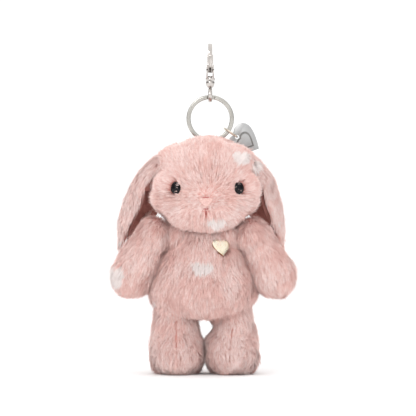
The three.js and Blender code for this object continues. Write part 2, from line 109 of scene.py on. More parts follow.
def tuft_centre(points, cell, seed):
    """The nearest of a set of scattered centres, about one to each cell of a grid."""
    base = np.floor(points / cell)
    best = np.full(len(points), 1e9)
    centre = np.zeros_like(points)
    for shift in np.ndindex(3, 3, 3):
        corner = base + np.array(shift) - 1
        place = []
        for axis in range(3):
            mix = corner @ np.array([127.1, 311.7, 74.7]) + axis * 19.19 + seed * 7.7
            place.append(np.modf(np.sin(mix) * 43758.5453)[0] % 1.0)
        candidate = (corner + np.stack(place, axis=1)) * cell
        distance = np.linalg.norm(points - candidate, axis=1)
        nearer = distance < best
        best[nearer] = distance[nearer]
        centre[nearer] = candidate[nearer]
    return centre


# --- materials ----------------------------------------------------------------------------------


def linear(red, green, blue):
    def channel(value):
        value /= 255
        return value / 12.92 if value <= 0.04045 else ((value + 0.055) / 1.055) ** 2.4

    return (channel(red), channel(green), channel(blue), 1.0)


def shader(name, colour, roughness, **sockets):
    """A Principled material with the values set straight on its sockets."""
    material = bpy.data.materials.new(name)
    material.use_nodes = True
    principled = material.node_tree.nodes["Principled BSDF"]
    principled.inputs["Base Color"].default_value = colour
    principled.inputs["Roughness"].default_value = roughness
    for socket, value in sockets.items():
        principled.inputs[socket.replace("_", " ")].default_value = value
    return material


def texture(material, kind, scale, stretch=(1, 1, 1), **values):
    """A texture node in object coordinates, with its pattern stretched along the axes."""
    nodes, links = material.node_tree.nodes, material.node_tree.links
    place = nodes.new("ShaderNodeTexCoord")
    mapping = nodes.new("ShaderNodeMapping")
    mapping.inputs["Scale"].default_value = stretch
    pattern = nodes.new(kind)
    pattern.inputs["Scale"].default_value = scale
    for socket, value in values.items():
        pattern.inputs[socket].default_value = value
    links.new(place.outputs["Object"], mapping.inputs["Vector"])
    links.new(mapping.outputs["Vector"], pattern.inputs["Vector"])
    return pattern.outputs[0]


def tinted(material, pattern, stops):
    """Colours the material through a ramp of (position, colour)."""
    nodes, links = material.node_tree.nodes, material.node_tree.links
    ramp = nodes.new("ShaderNodeValToRGB")
    elements = ramp.color_ramp.elements
    while len(elements) < len(stops):
        elements.new(0.5)
    for element, (position, colour) in zip(elements, stops):
        element.position = position
        element.color = colour
    links.new(pattern, ramp.inputs["Fac"])
    links.new(ramp.outputs["Color"], nodes["Principled BSDF"].inputs["Base Color"])


def roughened(material, pattern, low, high):
    nodes, links = material.node_tree.nodes, material.node_tree.links
    span = nodes.new("ShaderNodeMapRange")
    span.inputs["To Min"].default_value = low
    span.inputs["To Max"].default_value = high
    links.new(pattern, span.inputs["Value"])
    links.new(span.outputs["Result"], nodes["Principled BSDF"].inputs["Roughness"])


def bumped(material, pattern, strength, distance):
    nodes, links = material.node_tree.nodes, material.node_tree.links
    bump = nodes.new("ShaderNodeBump")
    bump.inputs["Strength"].default_value = strength
    bump.inputs["Distance"].default_value = distance
    links.new(pattern, bump.inputs["Height"])
    links.new(bump.outputs["Normal"], nodes["Principled BSDF"].inputs["Normal"])


def metal(name, dark, light, low, high, grain=(1, 1, 1)):
    """Plated metal: faint clouding in its colour, and fine polishing marks."""
    material = shader(name, light, low, Metallic=1.0)
    cloud = texture(material, "ShaderNodeTexNoise", 160, Detail=3)
    tinted(material, cloud, [(0.3, dark), (0.6, light)])
    marks = texture(material, "ShaderNodeTexNoise", 1500, grain, Detail=4)
    roughened(material, marks, low, high)
    bumped(material, marks, 0.05, 0.00002)
    return material


def cloth(name, dark, light, scale, roughness=0.9, relief=0.0003, **sockets):
    material = shader(name, light, roughness, **sockets)
    cloud = texture(material, "ShaderNodeTexNoise", scale, Detail=5, Roughness=0.6)
    tinted(material, cloud, [(0.32, dark), (0.68, light)])
    bumped(material, texture(material, "ShaderNodeTexNoise", scale * 6, Detail=4), 0.5, relief)
    return material


NICKEL = metal("nickel", linear(188, 182, 178), linear(206, 200, 195), 0.16, 0.26)
RING_STEEL = metal("ring_nickel", linear(178, 175, 169), linear(192, 189, 183), 0.22, 0.34)
SATIN = metal("satin_steel", linear(170, 170, 170), linear(184, 184, 184), 0.36, 0.5, (1, 1, 14))
WARM = metal("warm_steel", linear(226, 216, 200), linear(240, 233, 222), 0.22, 0.34)
DARK_STEEL = metal("dark_steel", linear(96, 90, 88), linear(128, 122, 118), 0.3, 0.45)
# The charm's rim and raised line are darker metal: painted dark reflection at its edges
CHARM_DARK_REFLECTION = metal("charm_painted_reflection", linear(112, 110, 108), linear(136, 134, 132), 0.3, 0.45)
GOLD = metal("champagne_gold", linear(246, 232, 204), linear(253, 244, 224), 0.22, 0.34)
GOLD_EDGE = metal("gold_edge", linear(186, 140, 100), linear(214, 168, 122), 0.28, 0.4)
EYE = shader("eye_black", linear(12, 10, 14), 0.07, Specular_IOR_Level=0.22)
roughened(EYE, texture(EYE, "ShaderNodeTexNoise", 900, Detail=2), 0.05, 0.12)
WASHER = shader("washer_white", linear(232, 232, 228), 0.5)
roughened(WASHER, texture(WASHER, "ShaderNodeTexNoise", 600, Detail=3), 0.4, 0.6)
FILLING = cloth("filling_fibre", linear(226, 224, 220), linear(246, 244, 240), 300, 1.0, 0.0006)
NOSE = cloth("nose_velour", linear(216, 176, 168), linear(228, 192, 184), 700, 0.9, 0.0002,
             Sheen_Weight=0.2)
THREAD = cloth("thread", linear(168, 92, 88), linear(200, 128, 122), 2600, 0.7, 0.0001)
RIBBON = cloth("ribbon_weave", linear(222, 176, 168), linear(236, 196, 188), 1800, 0.7, 0.0001)
# The ear lining is a real velour, but its dark brownish pink is partly painted shade inside the
# cupped ear
LINING_AND_SHADE = cloth("ear_lining_velour_and_shade", linear(150, 96, 88), linear(184, 128, 117), 420, 0.8, 0.0002,
               Sheen_Weight=0.35)
# The pelt backing is a darker, redder pink than the pile: painted shade deep between the strands
PELT_SHADE = cloth("pelt_backing_shade", linear(220, 158, 147), linear(234, 178, 168), 160, 0.95, 0.0004)

SHEEN = {"Sheen_Weight": 0.25, "Sheen_Roughness": 0.5}


def pile(name, red, green, blue):
    return shader(name, linear(red, green, blue), 0.85, **SHEEN)


# A strand is darker at its root and lighter towards its tip, painted shade deep in the pile, and
# takes one of three tints
PILE_ROOT_SHADE = pile("pile_root_shade", 240, 180, 169)
PILE_MIDDLE = [
    pile("pile_middle_rose", 229, 184, 175),
    pile("pile_middle_pink", 234, 195, 187),
    pile("pile_middle_pale", 238, 206, 199),
]
PILE_TIP = [
    pile("pile_tip_rose", 235, 196, 188),
    pile("pile_tip_pink", 240, 209, 202),
    pile("pile_tip_pale", 245, 223, 218),
]
WHITE_ROOT_SHADE = pile("pile_white_root_shade", 238, 218, 213)
WHITE_TIP = pile("pile_white_tip", 243, 233, 230)
PILE_LOOKS = [PILE_ROOT_SHADE, *PILE_MIDDLE, *PILE_TIP, WHITE_ROOT_SHADE, WHITE_TIP]
ROOT_SHADE_SLOT = 0
MIDDLE_SLOT = 1
TIP_SLOT = MIDDLE_SLOT + len(PILE_MIDDLE)
WHITE_ROOT_SHADE_SLOT = TIP_SLOT + len(PILE_TIP)
WHITE_TIP_SLOT = WHITE_ROOT_SHADE_SLOT + 1

# --- meshes -------------------------------------------------------------------------------------


def made(name, points, faces, *looks, smooth=True):
    """A mesh object from floor millimetres."""
    mesh = bpy.data.meshes.new(name)
    mesh.from_pydata([tuple(p) for p in to_row(points)], [], [tuple(map(int, f)) for f in faces])
    mesh.update()
    for look in looks:
        mesh.materials.append(look)
    piece = bpy.data.objects.new(name, mesh)
    scene.collection.objects.link(piece)
    if smooth:
        mesh.polygons.foreach_set("use_smooth", [True] * len(mesh.polygons))
    return piece


def baked(piece):
    """Applies the piece's modifiers."""
    bpy.context.view_layer.update()
    result = piece.evaluated_get(bpy.context.evaluated_depsgraph_get())
    mesh = bpy.data.meshes.new_from_object(result)
    piece.modifiers.clear()
    piece.data = mesh
    mesh.polygons.foreach_set("use_smooth", [True] * len(mesh.polygons))
    return piece


def lathe(profile, around=40, steps=36):
    """Points and faces of a closed round body from (radius, height) pairs."""
    profile = np.array(profile, float)
    run = np.concatenate([[0], np.cumsum(np.linalg.norm(np.diff(profile, axis=0), axis=1))])
    at = np.linspace(0, run[-1], steps)
    radius = np.interp(at, run, profile[:, 0])
    height = np.interp(at, run, profile[:, 1])
    radius[0] = radius[-1] = 0.02
    angle = np.linspace(0, 2 * math.pi, around, endpoint=False)
    rings = np.stack([
        radius[:, None] * np.cos(angle),
        radius[:, None] * np.sin(angle),
        np.repeat(height[:, None], around, axis=1),
    ], axis=2).reshape(-1, 3)
    faces = []
    for row in range(steps - 1):
        for n in range(around):
            a, b = row * around + n, row * around + (n + 1) % around
            faces.append((a, b, b + around, a + around))
    faces.append(tuple(range(around))[::-1])
    faces.append(tuple((steps - 1) * around + n for n in range(around)))
    return rings, faces


def ball(centre, radii):
    turn = np.linspace(-math.pi / 2, math.pi / 2, 24)
    points, faces = lathe(np.stack([np.cos(turn), np.sin(turn)], axis=1))
    return points * np.array(radii) + np.array(centre), faces


def pelt(name, shapes, look, voxel=1.3, rounds=8, lumps=0.35, inset=0.0):
    """One skin round several overlapping closed shapes, softened like stuffed fabric."""
    points, faces = [], []
    for shape_points, shape_faces in shapes:
        offset = sum(len(p) for p in points)
        points.append(shape_points)
        faces += [tuple(n + offset for n in face) for face in shape_faces]
    piece = made(name, np.concatenate(points), faces, look)
    remesh = piece.modifiers.new("skin", "REMESH")
    remesh.mode = "VOXEL"
    remesh.voxel_size = voxel * MM
    soften = piece.modifiers.new("soften", "SMOOTH")
    soften.factor = 0.5
    soften.iterations = rounds
    baked(piece)
    if not piece.data.materials:
        piece.data.materials.append(look)
    mesh = piece.data
    count = len(mesh.vertices)
    co = np.zeros(count * 3)
    normal = np.zeros(count * 3)
    mesh.vertices.foreach_get("co", co)
    mesh.vertex_normals.foreach_get("vector", normal)
    co, normal = co.reshape(-1, 3) / MM, normal.reshape(-1, 3)
    swell = ripple(co, 14, 3) * lumps - inset
    mesh.vertices.foreach_set("co", ((co + normal * swell[:, None]) * MM).ravel())
    mesh.update()
    return piece


def surface(piece):
    """Triangles of a piece in floor millimetres: corners, and a smooth normal at each corner."""
    mesh = piece.data
    mesh.calc_loop_triangles()
    count = len(mesh.vertices)
    co, normal = np.zeros(count * 3), np.zeros(count * 3)
    mesh.vertices.foreach_get("co", co)
    mesh.vertex_normals.foreach_get("vector", normal)
    corners = np.zeros(len(mesh.loop_triangles) * 3, int)
    mesh.loop_triangles.foreach_get("vertices", corners)
    corners = corners.reshape(-1, 3)
    co = co.reshape(-1, 3) / MM - ORIGIN
    return co[corners], normal.reshape(-1, 3)[corners]


# --- the printed white patches ------------------------------------------------------------------

# Middle x and z, half width and half height, the side they are on (-1 front, 1 back), and how far
# towards that side, in y, the pile has to be
PATCHES = [
    (5.2, 88.9, 5.6, 2.4, -1, 2), (-2.1, 60.6, 6.6, 4.2, -1, 2), (18.7, 123.2, 5.4, 3.6, -1, 6),
    (28.0, 119.0, 3.0, 4.2, -1, 4), (43.2, 85.6, 2.6, 3.4, -1, -8),
    (-49.6, 74.0, 2.7, 3.9, -1, -14), (-50.2, 56.6, 3.8, 5.4, -1, 0),
    (-29.8, 41.4, 2.6, 2.6, -1, 2),
    (9.0, 57.0, 6.4, 4.0, 1, 2), (-14.0, 112.0, 6.0, 4.2, 1, 2), (16.0, 93.0, 5.4, 3.4, 1, 2),
    (-17.0, 20.0, 4.6, 3.4, 1, 2),
]


def in_patch(points):
    """True where a soft-edged heart-like patch has turned the pile white."""
    white = np.zeros(len(points), bool)
    edge = 0.16 * ripple(points, 3.5, 40)
    for x, z, wide, high, side, least in PATCHES:
        across = (points[:, 0] - x) / wide
        up = (points[:, 2] - z) / high
        notch = 0.35 * np.exp(-(across / 0.3) ** 2)
        taper = 0.5 * across ** 2 * (up < 0)
        inside = across ** 2 + (up + notch * (up > 0)) ** 2 + taper < 1 + edge
        white |= inside & (points[:, 1] * side > least)
    return white


# --- pile ---------------------------------------------------------------------------------------


def strands(name, corners, normals, body, flow, length, rise, seed, tuft=0.22, cell=2.6,
            keep=None, pale=0.0):
    """Pile on a surface: flat tapering strands rooted in the pelt and combed along a flow.

    flow takes the roots and their normals. length and rise, in millimetres, are numbers or
    functions of the roots: how far a strand reaches along the flow, and how high its tip stands.
    pale above 0 gives more of the paler tints; on the ears and legs it is set high as painted
    light, paler pile where more shade falls.
    """
    rng = np.random.default_rng(SEED + seed)
    one_edge, other_edge = corners[:, 1] - corners[:, 0], corners[:, 2] - corners[:, 0]
    area = np.linalg.norm(np.cross(one_edge, other_edge), axis=1) / 2
    count = int(area.sum() * DENSITY)
    chosen = np.searchsorted(np.cumsum(area) / area.sum(), rng.random(count))
    chosen = np.minimum(chosen, len(area) - 1)
    share = rng.dirichlet((1, 1, 1), count)[:, :, None]
    root = (corners[chosen] * share).sum(axis=1)
    normal = unit((normals[chosen] * share).sum(axis=1))
    if keep is not None:
        kept = keep(root, normal)
        root, normal = root[kept], normal[kept]
    count = len(root)

    way = flow(root, normal) + rng.normal(scale=JITTER, size=(count, 3))
    swirl = np.stack([ripple(root, 17, 50 + k) for k in range(3)], axis=1) * SWIRL
    way = unit(way + swirl)
    way = unit(way - normal * (way * normal).sum(axis=1, keepdims=True))
    reach = np.broadcast_to(length(root) if callable(length) else length, count).copy()
    height = np.broadcast_to(rise(root) if callable(rise) else rise, count).copy()
    vary = rng.normal(1, 0.1, count) * (1 + 0.08 * ripple(root, 7, 60))
    reach *= vary
    height *= vary * rng.normal(1, 0.1, count)
    height[rng.random(count) < GUARD_SHARE] *= GUARD_HEIGHT

    to_tuft = tuft_centre(root, cell, seed) - root
    to_tuft -= normal * (to_tuft * normal).sum(axis=1, keepdims=True)
    side = unit(np.cross(way, normal))
    twist = rng.normal(scale=TWIST, size=(count, 1))
    across = unit(side * np.cos(twist) + normal * np.sin(twist))
    width = STRAND_WIDTH * rng.uniform(0.75, 1.25, count)
    rows = []
    for t, wide in STRAND_STATIONS:
        middle = root - normal * ROOTED
        middle = middle + way * (reach * (0.25 * t + 0.75 * t * t))[:, None]
        middle = middle + normal * ((height + ROOTED) * (1 - (1 - t) ** 1.7))[:, None]
        middle = middle + to_tuft * (tuft * t * t)
        middle[:, 2] -= SAG * t * t
        middle[:, 2] = np.maximum(middle[:, 2], FLOOR_CLEARANCE)
        if wide:
            half = across * (width * wide / 2)[:, None]
            rows += [middle - half, middle + half]
        else:
            rows.append(middle)
    points = np.stack(rows, axis=1).reshape(-1, 3)
    pattern = np.array([(0, 1, 3), (0, 3, 2), (2, 3, 5), (2, 5, 4), (4, 5, 6)])
    faces = (np.arange(count)[:, None, None] * STRAND_POINTS + pattern).reshape(-1, 3)

    along = root * np.array([1, 1, 0.35])
    tint = pale + 0.7 * ripple(along, 9, 70) + 0.7 * ripple(along, 2.4, 71)
    tint += rng.normal(scale=0.7, size=count)
    tone = np.digitize(tint, (-0.55, 0.6))
    white = in_patch(root + way * (reach * 0.5)[:, None])
    # Root faces take the darker root colour, painted shade deep in the pile
    looks = np.stack([
        np.where(white, WHITE_ROOT_SHADE_SLOT, ROOT_SHADE_SLOT),
        np.where(white, WHITE_TIP_SLOT, MIDDLE_SLOT + tone),
        np.where(white, WHITE_TIP_SLOT, TIP_SLOT + tone),
    ], axis=1)[:, [0, 0, 1, 1, 2]].ravel()
    mesh = bpy.data.meshes.new(name)
    mesh.vertices.add(len(points))
    mesh.vertices.foreach_set("co", to_row(points).ravel())
    mesh.loops.add(faces.size)
    mesh.loops.foreach_set("vertex_index", faces.ravel().astype(np.int32))
    mesh.polygons.add(len(faces))
    mesh.polygons.foreach_set("loop_start", np.arange(0, faces.size, 3, dtype=np.int32))
    for look in PILE_LOOKS:
        mesh.materials.append(look)
    mesh.polygons.foreach_set("material_index", looks.astype(np.int32))
    mesh.polygons.foreach_set("use_smooth", np.ones(len(faces), bool))
    mesh.update(calc_edges=True)
    piece = bpy.data.objects.new(name, mesh)
    scene.collection.objects.link(piece)
    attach(piece, body)
    return piece


def furred(name, piece, body, split=None, **settings):
    """Pile over a whole piece, in several slices where split gives the y values between them."""
    corners, normals = surface(piece)
    if split is None:
        strands(f"{name}_pile", corners, normals, body, **settings)
        return
    middle = np.digitize(corners[:, :, 1].mean(axis=1), split)
    for number in range(len(split) + 1):
        part = middle == number
        strands(f"{name}_pile_{number + 1}", corners[part], normals[part], body, **settings)
        settings["seed"] += 1


def stuffed(piece, body, node):
    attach(piece, body)
    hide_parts(node)


# --- head ---------------------------------------------------------------------------------------

MUZZLE = np.array([-0.3, -26.0, 100.6])
HEAD_SHAPES = [
    ball((-0.8, 0.5, 109.6), (28.8, 25.8, 24.6)),
    ball((-14.6, 1.0, 117.6), (14.2, 18.5, 13.4)),
    ball((13.4, 1.0, 117.6), (14.2, 18.5, 13.4)),
    ball((-15.6, -4.5, 102.8), (13.9, 16.4, 10.2)),
    ball((14.0, -4.5, 102.8), (13.9, 16.4, 10.2)),
    ball((-0.8, -3.0, 95.8), (22.2, 20.0, 12.3)),
    ball((0.8, 8.5, 125.8), (16.0, 12.5, 9.7)),
    ball((-0.3, -20.7, 101.8), (10.4, 8.0, 5.8)),
    ball((-0.3, -17.9, 96.4), (10.6, 6.8, 7.2)),
    ball((-17.5, -8.7, 107.5), (10.5, 15.5, 10.5)),
    ball((18.0, -7.2, 107.5), (10.5, 15.0, 10.5)),
]
head = pelt("head_pelt", HEAD_SHAPES, PELT_SHADE)
stuffed(head, "head", "head_skin")
head_fill = pelt("head_filling", HEAD_SHAPES, FILLING, voxel=2.4, lumps=0.7, inset=2.2)
stuffed(head_fill, "head", "head_stuffing")

eyes = {}
for side in ("left", "right"):
    low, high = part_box(f"eye_{side}")
    eyes[side] = np.array((low + high) / 2) / MM - ORIGIN
mouth_low, mouth_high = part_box("mouth_stitch")
mouth = np.array((mouth_low + mouth_high) / 2) / MM - ORIGIN


def head_flow(root, normal):
    away = unit(root - MUZZLE)
    away[:, 2] += 0.35 * smoothstep(4, 12, root[:, 2] - MUZZLE[2])
    away[:, 2] -= 0.5 * smoothstep(2, 12, MUZZLE[2] - root[:, 2])
    behind = smoothstep(-10, 12, root[:, 1])[:, None]
    down = np.array([0.0, 0.35, -1.0])
    return away * (1 - behind) + down * behind


def near_face(root):
    """1 at the middle of the muzzle, and 0 beyond the cheeks."""
    distance = np.linalg.norm((root - MUZZLE) * np.array([0.9, 0.7, 1.15]), axis=1)
    return 1 - smoothstep(3.5, 13, distance)


def clear_of_eyes(root, normal):
    clear = np.ones(len(root), bool)
    for centre in eyes.values():
        offset = (root - centre)[:, [0, 2]] / np.array([2.6, 3.2])
        clear &= ((offset ** 2).sum(axis=1) > 1) | (root[:, 1] > -8)
    across, up = np.abs(root[:, 0] - mouth[0]), root[:, 2] - mouth_low.z / MM + ORIGIN[2]
    tall = (mouth_high.z - mouth_low.z) / MM
    line = (across < 0.55) & (up > -0.1) & (up < tall)
    bar = (across < 1.7) & (up > tall - 1.2) & (up < tall + 0.3)
    clear &= ~(line | bar) | (root[:, 1] > -8)
    return clear


furred(
    "head", head, "head", split=(-14.0, 0.0, 13.0), flow=head_flow, seed=100, keep=clear_of_eyes,
    length=lambda root: 4.6 - 2.9 * near_face(root),
    rise=lambda root: 2.7 - 1.75 * near_face(root), pale=0.25,
)

# --- ears ---------------------------------------------------------------------------------------

EAR_LEAN = {"left": 6.3, "right": 0.0}


def spline(points, count):
    """Centripetal Catmull-Rom curve through points, and its direction."""
    points = np.array(points, float)
    padded = np.vstack([2 * points[0] - points[1], points, 2 * points[-1] - points[-2]])
    curve = []
    for s in np.linspace(0, len(points) - 1, count):
        n = min(int(s), len(points) - 2)
        t = s - n
        a, b, c, d = padded[n:n + 4]
        curve.append(0.5 * (
            2 * b + (c - a) * t + (2 * a - 5 * b + 4 * c - d) * t ** 2
            + (3 * b - a - 3 * c + d) * t ** 3
        ))
    curve = np.array(curve)
    return curve, unit(np.gradient(curve, axis=0))


def ear_leaf(name, side, near, far, share, look, start=0.0, sinks=False, rows=44, half=14):
    """A long cupped leaf with rounded edges, from the share start of its length to its tip.

    One that sinks is thicker at its root, where it lies against the head.
    """
    out = EAR_LEAN[side]
    mirror = LEFT if side == "left" else RIGHT
    middle, along = spline([
        (14.5, 0, 128.3), (26.0 + out * 0.3, 2.5, 121.3), (35.2 + out * 0.5, 6.5, 109),
        (40 + out * 0.9, 12, 92), (41.2 + out, 17, 73),
    ], rows)
    outward = unit(np.cross(along, np.array([0.0, 1.0, 0.0])))
    outward *= np.sign(outward[:, :1])
    points = []
    first = int(start * rows)
    middle, along, outward = middle[first:], along[first:], outward[first:]
    for row in range(rows - first):
        u = (row + first) / (rows - 1)
        width = 13.5 * math.sin(math.pi * (0.27 + 0.7 * u)) ** 0.75 * share
        curl = smoothstep(0.4, 0.6, u) * (1 - smoothstep(0.66, 1.0, u))
        sunk = 5.0 * (1 - smoothstep(0.42, 0.6, u)) if sinks else 0.0
        ends = max(math.sin(math.pi * min(max(u, 0.02), 0.98)) ** 0.3, 0.2)
        for turn in np.linspace(0, 2 * math.pi, 2 * half, endpoint=False):
            v = math.cos(turn)
            lift = (near + far - sunk) / 2 + (far - near + sunk) / 2 * math.sin(turn) * ends
            bend = (5.5 if v < 0 else 15) * curl * v * v
            point = middle[row] + outward[row] * (lift - bend)
            point = point + np.array([0.0, v * width, 0.0])
            points.append(point * np.array([mirror, 1, 1]))
    around = 2 * half
    last = rows - first - 1
    faces = []
    for row in range(last):
        for n in range(around):
            a, b = row * around + n, row * around + (n + 1) % around
            faces.append((a, b, b + around, a + around))
    faces += [tuple(range(around)), tuple(last * around + n for n in range(around))]
    piece = made(name, np.array(points), faces, look)
    bm = bmesh.new()
    bm.from_mesh(piece.data)
    bmesh.ops.recalc_face_normals(bm, faces=bm.faces)
    bm.to_mesh(piece.data)
    bm.free()
    return piece


for number, side in enumerate(("left", "right")):
    mirror = LEFT if side == "left" else RIGHT
    ear = ear_leaf(f"ear_{side}_pelt", side, 0.2, 3.2, 1.0, PELT_SHADE, sinks=True)
    stuffed(ear, f"{side}_ear", f"ear_{side}")
    lining = ear_leaf(f"ear_{side}_lining_velour", side, -1.2, -0.3, 0.9, LINING_AND_SHADE, start=0.4)
    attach(lining, f"{side}_ear")
    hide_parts(f"ear_lining_{side}")

    def ear_flow(root, normal, mirror=mirror):
        down = np.array([0.28 * mirror, 0.2, -1.0])
        return np.broadcast_to(down, root.shape) + normal * np.array([0.3, 0.5, 0.0])

    def outer_side(root, normal, mirror=mirror):
        return (normal[:, 0] * mirror > -0.35) | (root[:, 2] > 124)

    # The ear pile is given many pale tints, painted light against the shade on the ears' sides
    furred(f"ear_{side}", ear, f"{side}_ear", flow=ear_flow, seed=200 + 10 * number,
           length=4.4, rise=2.3, keep=outer_side, pale=1.1)

# --- body ---------------------------------------------------------------------------------------

BODY_PROFILE = [
    (0, 34.2), (14, 34.8), (23.6, 38.6), (28.6, 44), (29.9, 49), (29.2, 55), (25.4, 64), (21.2, 73),
    (17, 80), (13, 86), (9, 89.5), (0, 91),
]
torso_points, torso_faces = lathe(BODY_PROFILE)
torso_points = torso_points * np.array([1, 0.83, 1]) + np.array([*BODY_AT, 0])
BODY_SHAPES = [
    (torso_points, torso_faces),
    ball((-2.0, -3.0, 50), (23.5, 20.2, 15.5)),
    ball((-16, 2, 39), (12.5, 12, 10)),
    ball((12, 2, 39), (12.5, 12, 10)),
    ball((-16.5, 1, 80.5), (9.5, 11, 8.6)),
    ball((12.5, 1, 80.5), (9.5, 11, 8.6)),
]
torso = pelt("torso_pelt", BODY_SHAPES, PELT_SHADE)
stuffed(torso, "torso", "body_skin")
torso_fill = pelt("torso_filling", BODY_SHAPES, FILLING, voxel=2.4, lumps=0.7, inset=2.2)
stuffed(torso_fill, "torso", "body_stuffing")


def body_flow(root, normal):
    down = np.array([0.0, 0.0, -1.0])
    return down + (root - np.array([*BODY_AT, 0])) * np.array([0.012, 0.006, 0])


badge_low, badge_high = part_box("badge_pin")
badge = np.array((badge_low + badge_high) / 2) / MM - ORIGIN


def under_badge(root, normal):
    offset = (root - badge)[:, [0, 2]]
    return (np.linalg.norm(offset, axis=1) > 3.4) | (root[:, 1] > 0)


furred("torso", torso, "torso", split=(-9.0, 3.0, 14.0), flow=body_flow, seed=300,
       length=4.8, rise=2.6, keep=under_badge, pale=-0.3)

TAIL_SHAPES = [ball((-0.5, 31.5, 47.5), (6.4, 5.2, 6.4))]
tail = pelt("tail_pelt", TAIL_SHAPES, PELT_SHADE, voxel=0.9)
stuffed(tail, "torso", "tail")
furred("tail", tail, "torso", flow=lambda root, normal: normal + np.array([0.0, 0.3, -0.6]),
       seed=340, length=2.4, rise=3.6)

# --- arms and legs ------------------------------------------------------------------------------

ARM_PROFILE = [
    (0, -37.0), (5.6, -35.6), (9.4, -31.8), (10.9, -26), (10.2, -17), (8.9, -8), (8.2, 0),
    (5.6, 6), (0, 8),
]
SHOULDER = {"left": (-30.8, -4, 80.5), "right": (27.4, -4, 80.5)}
SPLAY = math.radians(27)
SLIM = {"left": 0.06, "right": 0.2}  # how much narrower each leg is at its top
# The seam down the front of each leg: how far it moves sideways with height, its x at the sole,
# and the height of its lower end
SEAMS = {"left": (0.0, -17.1, 17), "right": (0.117, 11.6, 9)}
HIP = {"left": (-17, 2, 30), "right": (14.8, 2, 30)}
LEG_PROFILE = [
    (0, -29.2), (8.8, -29), (11.8, -26.7), (13.4, -20), (13.1, -11), (12.4, -2), (9.6, 7),
    (0, 11.4),
]

for number, side in enumerate(("left", "right")):
    mirror = LEFT if side == "left" else RIGHT
    points, faces = lathe(ARM_PROFILE)
    points = points * np.array([1, 0.88, 1])
    angle = -SPLAY * mirror
    turn = np.array([
        [math.cos(angle), 0, math.sin(angle)], [0, 1, 0], [-math.sin(angle), 0, math.cos(angle)],
    ])
    top = (SHOULDER[side][0] - mirror * 1.2, -5.0, 80.2)
    shapes = [(points @ turn.T + np.array(SHOULDER[side]), faces), ball(top, (7.2, 9.0, 9.3))]
    arm = pelt(f"arm_{side}_pelt", shapes, PELT_SHADE)
    stuffed(arm, f"{side}_arm", f"arm_skin_{side}")
    arm_fill = pelt(f"arm_{side}_filling", shapes, FILLING, voxel=2, lumps=0.6, inset=1.9)
    stuffed(arm_fill, f"{side}_arm", f"arm_stuffing_{side}")
    paw_way = turn @ np.array([0, 0, -1.0])

    def arm_flow(root, normal, paw_way=paw_way):
        return np.broadcast_to(paw_way, root.shape) + np.array([0, 0, -0.25])

    furred(f"arm_{side}", arm, f"{side}_arm", flow=arm_flow, seed=400 + 10 * number,
           length=4.6, rise=2.4)

    hip = np.array(HIP[side], float)
    shin_points, shin_faces = lathe(LEG_PROFILE)
    upper = smoothstep(-17, -1, shin_points[:, 2])
    shin_points[:, 0] *= 1 - SLIM[side] * upper
    shin_points[:, 0] += mirror * 1.3 * upper
    foot = ball((hip[0], hip[1] - 5.5, 10.9), (13.7, 15.6, 10.5))
    instep = ball((hip[0], hip[1] - 3.5, 17.0), (13.4, 13.2, 9.5))
    shapes = [(shin_points + hip, shin_faces), foot, instep]
    leg = pelt(f"leg_{side}_pelt", shapes, PELT_SHADE, rounds=20)
    stuffed(leg, f"{side}_leg", f"leg_skin_{side}")
    leg_fill = pelt(f"leg_{side}_filling", shapes, FILLING, voxel=2, lumps=0.6, inset=2.1)
    stuffed(leg_fill, f"{side}_leg", f"leg_stuffing_{side}")

    def leg_flow(root, normal, hip=hip):
        down = np.array([0.0, 0.0, -1.0])
        spread = (root - hip) * np.array([0.02, 0.02, 0])
        toe = smoothstep(22, 12, root[:, 2])[:, None]
        return down + spread + toe * (normal * 0.4 + np.array([0, -0.35, 0.25]))

    lean, at, low_end = SEAMS[side]

    def from_seam(root, lean=lean, at=at, low_end=low_end):
        """Millimetres sideways from the seam down the front of the leg, and far away behind."""
        beyond = (root[:, 1] > -4) | (root[:, 2] < low_end)
        return root[:, 0] - at - lean * root[:, 2] + 99 * beyond

    def leg_rise(root, from_seam=from_seam):
        seam = np.exp(-(from_seam(root) / 1.7) ** 2)
        sole = smoothstep(3.5, 0.5, root[:, 2])
        return 2.5 * (1 - 0.55 * seam) * (1 - 0.8 * sole)

    def off_seam(root, normal, from_seam=from_seam):
        return np.abs(from_seam(root)) > 0.45 + 0.25 * ripple(root, 5, 90)

    # The leg pile is given more pale tints, painted light against the shade low on the toy
    furred(f"leg_{side}", leg, f"{side}_leg", flow=leg_flow, seed=450 + 10 * number,
           length=4.4, rise=leg_rise, keep=off_seam, pale=0.6)

# --- CAD nodes that show as they are --------------------------------------------------------------

NODE_LOOKS = {
    "hook_frame": NICKEL, "gate_lever": NICKEL, "gate_pin": DARK_STEEL, "gate_spring": DARK_STEEL,
    "swivel_eye": NICKEL, "key_ring": RING_STEEL, "charm_link": WARM, "heart_charm": CHARM_DARK_REFLECTION,
    "hang_loop": RIBBON, "eye_left": EYE, "eye_right": EYE, "eye_washer_left": WASHER,
    "eye_washer_right": WASHER, "nose_pad": NOSE, "mouth_stitch": THREAD, "badge_pin": GOLD_EDGE,
    "badge_clutch": NICKEL,
}
